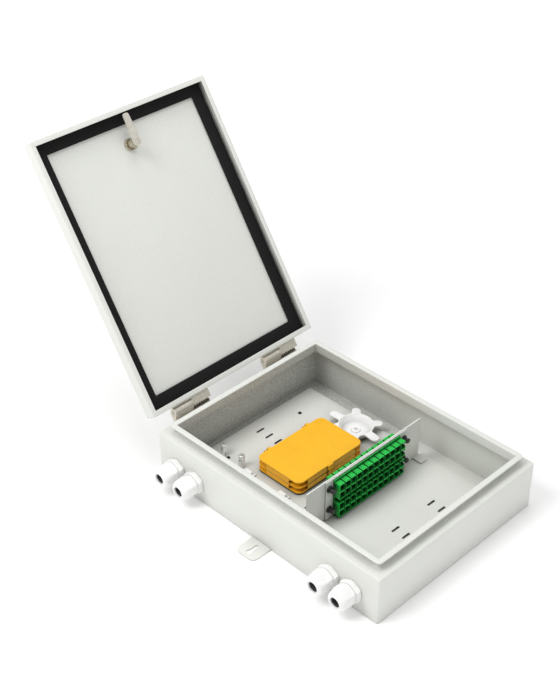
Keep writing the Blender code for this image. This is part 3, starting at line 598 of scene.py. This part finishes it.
def brick(low, high):
    mesh_data = bmesh.new()
    xs, ys, zs = zip(low, high)
    corners = [mesh_data.verts.new((x, y, z)) for z in zs for y in ys for x in xs]
    for face in ((0, 2, 3, 1), (4, 5, 7, 6), (0, 1, 5, 4), (2, 6, 7, 3), (0, 4, 6, 2), (1, 3, 7, 5)):
        mesh_data.faces.new([corners[k] for k in face])
    return mesh_data


hinge_zinc = zinc_plate("hinge_zinc_plate", (0.66, 0.62, 0.53), 0.42, 0.5)
# Near-black for the strip that is painted shadow in the hinge gap.
gap_shadow_black = foam_rubber("hinge_strip_rubber", (0.012, 0.012, 0.012))
rows = row_group()
for number in (1, 2):
    for node, name, body in (
            ("body_leaf", "leaf_body", "box"), ("lid_leaf", "leaf_lid", "lid"), ("pin", "pin", "box")):
        eased_node(f"hinge_{number}_{node}", f"hinge_{name}_{number}", 0.0003, hinge_zinc, body, "zinc_plate")
    low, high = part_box(f"hinge_{number}_pin")
    pin_centre = (low + high) / 2
    # A black strip under the lid's half of the barrel is painted shadow in the gap.
    strip = brick((-0.0024, 0.0012, -0.0092), (0.0024, (high.y - low.y) / 2, -0.0074))
    strip_mesh = ease_edges(to_mesh("strip", moved(strip, pin_centre)), 0.0002)
    place_piece(f"hinge_strip_{number}", strip_mesh, gap_shadow_black, "box", "black_nylon")
    tooth = brick((-0.0026, -0.0011, -0.0076), (0.0026, 0.0011, -0.0066))
    tooth = ease_edges(to_mesh("tooth", tooth), 0.0002)
    teeth = grown(rows, tooth, [(0.0, 0.0, 0.0)], {
        "Count": 7, "First Place": pin_centre + Vector((0.0, 0.0032, 0.0)), "Pitch": 0.0043,
        "Finish": hinge_zinc})
    place_piece(f"hinge_teeth_{number}", teeth, hinge_zinc, "box", "zinc_plate")

# ---- Cam lock ----
# A die-cast zinc barrel, held in the lid by a hexagon nut. Its plug turns a flat steel cam, which a screw
# holds on the plug's end.
lock_zinc = zinc_plate("lock_zinc_casting", (0.56, 0.51, 0.39), 0.24, 1.0)
cam_zinc = zinc_plate("cam_zinc_plate", (0.66, 0.63, 0.56), 0.40, 0.35)
for node, name, body, finish in (
        ("lock_barrel", "lock_barrel_casting", "lid", lock_zinc),
        ("lock_nut", "lock_hexagon_nut", "lid", lock_zinc),
        ("lock_plug", "lock_plug_casting", "cam", lock_zinc),
        ("lock_cam", "lock_cam_lever", "cam", cam_zinc),
        ("cam_screw", "cam_screw_head", "cam", cam_zinc)):
    eased_node(node, name, 0.0003, finish, body, "zinc_plate")

# ---- Cable glands ----
# Four nylon glands: a body with a hexagon outside the wall, a lock nut inside it, and a domed cap with
# six flats that is screwed over a split collar. A black rubber seal lines each cap.


def moulded(name, base, roughness, texture=0.00003, coat=0.0):
    """Injection-moulded plastic: an even colour with a faint drift, and the fine grain of the mould."""
    made, tree, shader, place = surface(name, base, roughness)
    drift = noise(tree, place, 45.0, 3.0, 0.5)
    grain = noise(tree, place, 2200.0, 2.0, 0.6)
    tree.links.new(mottle(tree, drift, base, 0.95, 1.03), shader.inputs["Base Color"])
    tree.links.new(remap(tree, grain, roughness - 0.06, roughness + 0.08), shader.inputs["Roughness"])
    shader.inputs["Coat Weight"].default_value = coat
    shader.inputs["Coat Roughness"].default_value = 0.25
    emboss(tree, shader, ((grain, texture),))
    return made


gland_nylon = moulded("gland_white_nylon", (0.87, 0.87, 0.86), 0.36)
seal_rubber = foam_rubber("gland_seal_rubber", (0.05, 0.05, 0.052))


def hexagon_ring(across, limit, sides=72):
    """A hexagon of this size across flats, cut off at a limiting radius."""
    points = []
    for k in range(sides):
        angle = math.tau * k / sides
        off_flat = (angle + math.pi / 6) % (math.pi / 3) - math.pi / 6
        radius = min(across / 2 / math.cos(off_flat), limit)
        points.append(Vector((radius * math.cos(angle), radius * math.sin(angle))))
    return points


def ring(radius, sides=72):
    angles = [math.tau * k / sides for k in range(sides)]
    return [radius * Vector((math.cos(angle), math.sin(angle))) for angle in angles]


def gland_mesh(name, profile, centre, crease=18.0):
    """A ring-shaped gland piece, its profile's heights measured outwards from the wall at this centre."""
    return to_mesh(name, moved(turned_to_y(loft(profile, True)), (centre.x, -half_width, centre.z)), crease)


base_flats = 0.0294
cap_flats = 0.0268
for number, centre in enumerate(gland_centres, 1):
    low = 0.0003
    body = (
        (ring(0.0085), -0.0100), (ring(0.0119), -0.0100), (ring(0.0123), -0.0094), (ring(0.0123), low),
        (hexagon_ring(base_flats, 0.0158), low), (hexagon_ring(base_flats, 0.0169), low + 0.0008),
        (hexagon_ring(base_flats, 0.0169), 0.0070), (hexagon_ring(base_flats, 0.0156), 0.0080),
        (ring(0.0136), 0.0080), (ring(0.0108), 0.0080), (ring(0.0108), 0.0185), (ring(0.0085), 0.0185))
    place_piece(f"gland_lower_part_{number}", gland_mesh("gland_lower_part", body, centre),
                gland_nylon, "box", "gland_nylon", f"gland_body_{number}")
    nut_back = -sheet - 0.0003
    nut = (
        (ring(0.0126), nut_back - 0.0050), (ring(0.0136), nut_back - 0.0050),
        (hexagon_ring(base_flats, 0.0156), nut_back - 0.0046),
        (hexagon_ring(base_flats, 0.0168), nut_back - 0.0038),
        (hexagon_ring(base_flats, 0.0168), nut_back), (ring(0.0126), nut_back))
    place_piece(f"gland_nut_{number}", gland_mesh("gland_nut", nut, centre),
                gland_nylon, "box", "gland_nylon", f"gland_locknut_{number}")
    dome = [(ring(0.0111), 0.0083), (ring(0.0128), 0.0083), (hexagon_ring(cap_flats, 0.0142), 0.0086),
            (hexagon_ring(cap_flats, 0.0152), 0.0094), (hexagon_ring(cap_flats, 0.0152), 0.0170)]
    for step in range(1, 11):
        turn = math.radians(90 * step / 10)
        dome.append((hexagon_ring(cap_flats, 0.0092 + 0.0060 * math.cos(turn) ** 0.8),
                     0.0170 + 0.0152 * math.sin(turn)))
    dome += [(ring(0.0088), 0.0325), (ring(0.0079), 0.0325), (ring(0.0075), 0.0320), (ring(0.0068), 0.0250),
             (ring(0.0068), 0.0191), (ring(0.0111), 0.0191)]
    place_piece(f"gland_dome_{number}", gland_mesh("gland_dome", dome, centre),
                gland_nylon, f"cap_{number}", "gland_nylon", f"gland_cap_{number}")
    seal = [(ring(radius), height) for radius, height in (
        (0.0060, 0.0192), (0.0066, 0.0192), (0.0066, 0.0254), (0.0071, 0.0300), (0.0069, 0.0303),
        (0.0060, 0.0258))]
    place_piece(f"gland_seal_{number}", gland_mesh("gland_seal", seal, centre, 25.0),
                seal_rubber, f"cap_{number}", "gasket_foam")

# ---- Mounting plate ----
# A steel plate with short slots for cable ties. It rests on four bosses welded to the box's floor and is
# coated like the box.
# The plate's coat has strong painted shade in its corners and slots and round the parts on it.
plate_coat = powder_coat("plate_powder_coat", coat_grey, 0.00014, 0.5)
eased_node("mounting_plate", "mounting_panel", 0.0004, plate_coat, "box", "powder_coat")

# ---- Strength-member posts ----
# Two turned steel posts, plated, that stand on the mounting plate. Each has a cross hole for the stiff core
# of a cable, and a threaded hole from the top for the screw that clamps it.
post_zinc = zinc_plate("post_zinc_plate", (0.86, 0.85, 0.82), 0.30)
for number in (1, 2):
    eased_node(f"strength_post_{number}", f"post_turned_{number}", 0.00025, post_zinc, "box", "zinc_plate")

# ---- Tie mounts ----
# Two saddles moulded in white plastic, each with a tunnel for a cable tie. They are stuck to the mounting
# plate where cables come in.
white_abs = moulded("white_plastic", (0.93, 0.93, 0.93), 0.42)
# Painted shade darkens the white plastic in its hollows and where parts meet.
painted_corner_shade(white_abs.node_tree, white_abs.node_tree.nodes["Principled BSDF"], 0.014, 0.9)
for number in (1, 2):
    eased_node(f"tie_mount_{number}", f"tie_saddle_{number}", 0.0004, white_abs, "box", "white_abs")

# ---- Fibre spool ----
# A drum moulded in white plastic, wider at the top, with six round-ended fingers that keep spare fibre on
# it. One screw through its middle holds it to the plate.


def slab(outline, low, high):
    return loft(((outline, low), (outline, high)))


def united(meshes):
    """Several closed meshes made into one body."""
    holder = bpy.data.objects.new("uniting", meshes[0])
    scene.collection.objects.link(holder)
    tools = []
    for mesh in meshes[1:]:
        tool = bpy.data.objects.new("added", mesh)
        scene.collection.objects.link(tool)
        tools.append(tool)
        modifier = holder.modifiers.new("add", "BOOLEAN")
        modifier.operation = "UNION"
        modifier.object = tool
    whole = evaluated_mesh(holder)
    for tool in tools:
        bpy.data.objects.remove(tool, do_unlink=True)
    return whole


spool_low, spool_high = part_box("fibre_spool")
screw_low, screw_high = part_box("spool_screw")
spool_centre = (screw_low + screw_high) / 2
spool_height = spool_high.z - spool_low.z
finger_width = 0.0126
drum = loft((
    (ring(0.0014), 0.0), (ring(0.0205), 0.0), (ring(0.0212), 0.0008), (ring(0.0262), spool_height - 0.0004),
    (ring(0.0258), spool_height), (ring(0.0250), spool_height), (ring(0.0244), spool_height - 0.0006),
    (ring(0.0196), 0.0022), (ring(0.0190), 0.0018), (ring(0.0064), 0.0018), (ring(0.0060), 0.0031),
    (ring(0.0056), 0.0034), (ring(0.0014), 0.0034)), True)
fingers = [to_mesh("drum", drum)]
half = finger_width / 2
for degrees, reach in (
        (-6, 0.0455), (50, 0.0380), (132, 0.0385), (186, 0.0455), (232, 0.0335), (308, 0.0335)):
    turns = [math.radians(a) for a in range(-90, 91, 12)]
    outline = [Vector((0.0246, -half * 1.15)), Vector((0.029, -half))]
    outline += [Vector((reach - half + half * math.cos(turn), half * math.sin(turn))) for turn in turns]
    outline += [Vector((0.029, half)), Vector((0.0246, half * 1.15))]
    finger = slab(outline, spool_height - 0.0024, spool_height - 0.0001)
    bmesh.ops.rotate(finger, verts=finger.verts, matrix=Matrix.Rotation(math.radians(degrees), 3, "Z"))
    fingers.append(to_mesh("finger", finger))
spool_mesh = ease_edges(united(fingers), 0.0004, 2, 40.0)
spool_mesh.transform(Matrix.Translation((spool_centre.x, spool_centre.y, spool_low.z)))
place_piece("spool_drum", spool_mesh, white_abs, "box", "white_abs", "fibre_spool")

# ---- Splice trays ----
# A black pad is painted shadow under the trays' edges. Two trays and a cover are in orange moulded
# plastic. They hang on pegs on one side and snap shut on the other. Fibres enter through the openings at
# the corners.
tray_plastic = moulded("tray_orange_plastic", (1.0, 0.47, 0.012), 0.46)
# Painted shade darkens the orange plastic in the windows and slots and between the trays.
painted_corner_shade(tray_plastic.node_tree, tray_plastic.node_tree.nodes["Principled BSDF"], 0.006, 2.2)
cover_plastic = moulded("cover_orange_plastic", (0.93, 0.48, 0.008), 0.46)
# The black pad under the trays is painted shadow beneath their edges.
eased_node("tray_pad", "tray_foam_pad", 0.0004, foam_and_painted_shadow, "box", "gasket_foam")
pad_low, pad_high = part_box("tray_pad")
pad_centre = (pad_low + pad_high) / 2
window_length = 0.0190
window_width = 0.0170
for node, name, body in (
        ("splice_tray_lower", "tray_first", "box"), ("splice_tray_upper", "tray_second", "tray")):
    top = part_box(node)[1].z
    windows = []
    for x in (pad_low.x, pad_high.x):
        for y in (pad_low.y, pad_high.y):
            reach_x = math.copysign(window_length, pad_centre.x - x)
            reach_y = math.copysign(window_width, pad_centre.y - y)
            xs = sorted((x - reach_x * 0.1, x + reach_x))
            ys = sorted((y - reach_y * 0.1, y + reach_y))
            windows.append(brick((xs[0], ys[0], top - 0.0066), (xs[1], ys[1], top - 0.0012)))
    opened = ease_edges(carve(cad_copy(node), windows), 0.00025)
    place_piece(name, opened, tray_plastic, body, "tray_orange", node)
eased_node("tray_cover", "tray_lid", 0.0004, cover_plastic, "cover", "tray_orange")

# ---- Adapter bracket and panels ----
# An upright bracket folded from coated steel sheet, with feet on the plate, and two coated steel panels that
# hold the adapters. Rivets fix the panels to the front of the bracket.
# Their coat is the plate's, with its painted shade in corners.
for node, name in (
        ("adapter_bracket", "bracket_upright"), ("adapter_panel_lower", "panel_lower"),
        ("adapter_panel_upper", "panel_upper")):
    eased_node(node, name, 0.0003, plate_coat, "box", "powder_coat")

# ---- Duplex adapters ----
# Green moulded adapters side by side, two ports each, with a flange against the panel. In each port a
# thin sleeve stands on the floor, and a slot in the port's wall takes the key of the plug.


def turned_to_x(mesh_data):
    """Turn a body drawn along +Z so that it runs along +X."""
    bmesh.ops.transform(mesh_data, matrix=Matrix.Rotation(math.radians(90), 4, "Y"), verts=mesh_data.verts)
    return mesh_data


block_low, block_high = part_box("adapters_upper_1")
next_low, next_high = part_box("adapters_upper_2")
port_pitch = (next_low.y - block_low.y) / 6
front = block_high.x
half_duplex = 0.0125
port_heights = (-0.0062, 0.0062)
port_floor = front - 0.0120
flange_back = 0.0331
duplex = carve(to_mesh("duplex", brick((block_low.x, -0.0046, -half_duplex), (front, 0.0046, half_duplex))), [
    brick((low, y_low, port_z + z_low), (high, y_high, port_z + z_high))
    for port_z in port_heights
    for low, high, y_low, y_high, z_low, z_high in (
        (port_floor, front + 0.01, -0.0040, 0.0040, -0.0053, 0.0053),
        (front - 0.0065, front + 0.01, 0.0030, 0.0050, -0.0013, 0.0013),
        (block_low.x - 0.01, block_low.x + 0.0060, -0.0038, 0.0038, -0.0048, 0.0048))])
ear = carve(to_mesh("ear", brick((flange_back, -0.0053, -0.0155), (flange_back + 0.0018, 0.0053, 0.0155))),
            [brick((0.0, -0.0048, -half_duplex + 0.0002), (0.06, 0.0048, half_duplex - 0.0002))])
parts = [ease_edges(duplex, 0.00035), ease_edges(ear, 0.00035)]
for port_z in port_heights:
    sleeve = loft([(ring(radius, 20), depth) for radius, depth in (
        (0.0010, 0.0004), (0.0017, 0.0), (0.0017, 0.0070), (0.0014, 0.0074), (0.0010, 0.0074))], True)
    sleeve = moved(turned_to_x(sleeve), (port_floor - 0.0002, 0.0, port_z))
    parts.append(to_mesh("sleeve", sleeve, 40.0))
    for side in (-1, 1):
        rib = brick((port_floor, side * 0.0032, port_z - 0.0007),
                    (front - 0.0025, side * 0.00405, port_z - 0.0002))
        parts.append(to_mesh("rib", rib))
for edge in (-half_duplex, half_duplex):
    latch = brick((front - 0.0085, -0.0022, edge - 0.0003), (front - 0.0015, 0.0022, edge + 0.0003))
    parts.append(ease_edges(to_mesh("latch", latch), 0.0002))
together = bmesh.new()
for part in parts:
    together.from_mesh(part)
duplex_template = bpy.data.meshes.new("duplex_template")
together.to_mesh(duplex_template)
together.free()
duplex_template.shade_smooth()
duplex_template.set_sharp_from_angle(angle=math.radians(30.0))
adapter_green = moulded("adapter_green_plastic", (0.010, 0.58, 0.072), 0.36)
# Painted shade darkens the green plastic in the ports and between the adapters.
painted_corner_shade(adapter_green.node_tree, adapter_green.node_tree.nodes["Principled BSDF"], 0.010, 2.4)
for node in ("adapters_lower_1", "adapters_lower_2", "adapters_upper_1", "adapters_upper_2"):
    low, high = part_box(node)
    start = Vector((0.0, low.y + 0.00535, (low.z + high.z) / 2))
    row = grown(rows, duplex_template.copy(), [(0.0, 0.0, 0.0)], {
        "Count": 6, "First Place": start, "Pitch": port_pitch, "Finish": adapter_green})
    place_piece(node.replace("adapters", "adapter_row"), row, adapter_green, "box", "adapter_green", node)

# ---- Push rivets ----
# Four push rivets moulded in black nylon, which hold the panels to the bracket. Each is a grommet and a pin
# that spreads it. The pin is pulled out to release the panel.
rivet_nylon = moulded("rivet_black_nylon", (0.012, 0.012, 0.012), 0.35)
for number in range(1, 5):
    for kind, body in (("grommet", "box"), ("pin", f"plunger_{number}")):
        eased_node(f"plunger_{kind}_{number}", f"rivet_{kind}_{number}", 0.0003, rivet_nylon, body,
                   "black_nylon")

# ---- Screws ----
# Pan-head steel screws with a cross recess. Four blackened ones hold the mounting plate to its bosses, and
# a plated one holds the spool.


def scatter_group():
    """Copies of a template on given points, each turned by its own angle, with one finish."""
    tree = bpy.data.node_groups.new("turned_copies", "GeometryNodeTree")
    add_socket(tree, "Copies", "NodeSocketGeometry", "OUTPUT")
    add_socket(tree, "Places", "NodeSocketGeometry")
    sockets = {name: add_socket(tree, name, kind).identifier for name, kind in (
        ("Template", "NodeSocketObject"), ("Largest Turn", "NodeSocketFloat"), ("Size", "NodeSocketFloat"),
        ("Seed", "NodeSocketInt"), ("Finish", "NodeSocketMaterial"))}
    nodes = tree.nodes
    given = nodes.new("NodeGroupInput")
    chance = nodes.new("FunctionNodeRandomValue")
    turn = nodes.new("ShaderNodeCombineXYZ")
    source = nodes.new("GeometryNodeObjectInfo")
    copies = nodes.new("GeometryNodeInstanceOnPoints")
    realise = nodes.new("GeometryNodeRealizeInstances")
    paint = nodes.new("GeometryNodeSetMaterial")
    result = nodes.new("NodeGroupOutput")
    chance.data_type = "FLOAT"
    amount = next(item for item in chance.outputs if item.type == "VALUE" and item.enabled)
    largest = next(item for item in chance.inputs if item.name == "Max" and item.enabled)
    for start, end in (
            (given.outputs["Largest Turn"], largest),
            (given.outputs["Seed"], chance.inputs["Seed"]),
            (amount, turn.inputs["Z"]),
            (turn.outputs["Vector"], copies.inputs["Rotation"]),
            (given.outputs["Places"], copies.inputs["Points"]),
            (given.outputs["Size"], copies.inputs["Scale"]),
            (given.outputs["Template"], source.inputs["Object"]),
            (source.outputs["Geometry"], copies.inputs["Instance"]),
            (copies.outputs["Instances"], realise.inputs["Geometry"]),
            (realise.outputs["Geometry"], paint.inputs["Geometry"]),
            (given.outputs["Finish"], paint.inputs["Material"]),
            (paint.outputs["Geometry"], result.inputs["Copies"])):
        tree.links.new(start, end)
    return tree, sockets


head = loft([(ring(radius, 32), height) for radius, height in (
    (0.0010, -0.0010), (0.0012, 0.0), (0.0026, 0.0), (0.0027, 0.0002), (0.0027, 0.0006), (0.0024, 0.0010),
    (0.0018, 0.0013), (0.0008, 0.0014))])
cross = [brick((-half_x, -half_y, 0.0006), (half_x, half_y, 0.003))
         for half_x, half_y in ((0.0013, 0.00028), (0.00028, 0.0013))]
screw_template = carve(to_mesh("screw_template", head), cross)
black_oxide = zinc_plate("screw_black_oxide", (0.05, 0.05, 0.05), 0.40)
screws = scatter_group()
seats = []
for number in range(1, 5):
    low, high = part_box(f"plate_screw_{number}")
    seats.append(((low.x + high.x) / 2, (low.y + high.y) / 2, high.z - 0.0014))
plate_screws = grown(screws, screw_template.copy(), seats, {
    "Largest Turn": 1.5, "Size": 1.0, "Seed": 4, "Finish": black_oxide})
place_piece("screws_plate", plate_screws, black_oxide, "box", "zinc_plate",
            *(f"plate_screw_{number}" for number in range(1, 5)))
spool_seat = (spool_centre.x, spool_centre.y, screw_high.z - 0.0013)
spool_screw = grown(screws, screw_template.copy(), [spool_seat], {
    "Largest Turn": 1.5, "Size": 0.95, "Seed": 7, "Finish": post_zinc})
place_piece("screw_spool", spool_screw, post_zinc, "box", "zinc_plate", "spool_screw")
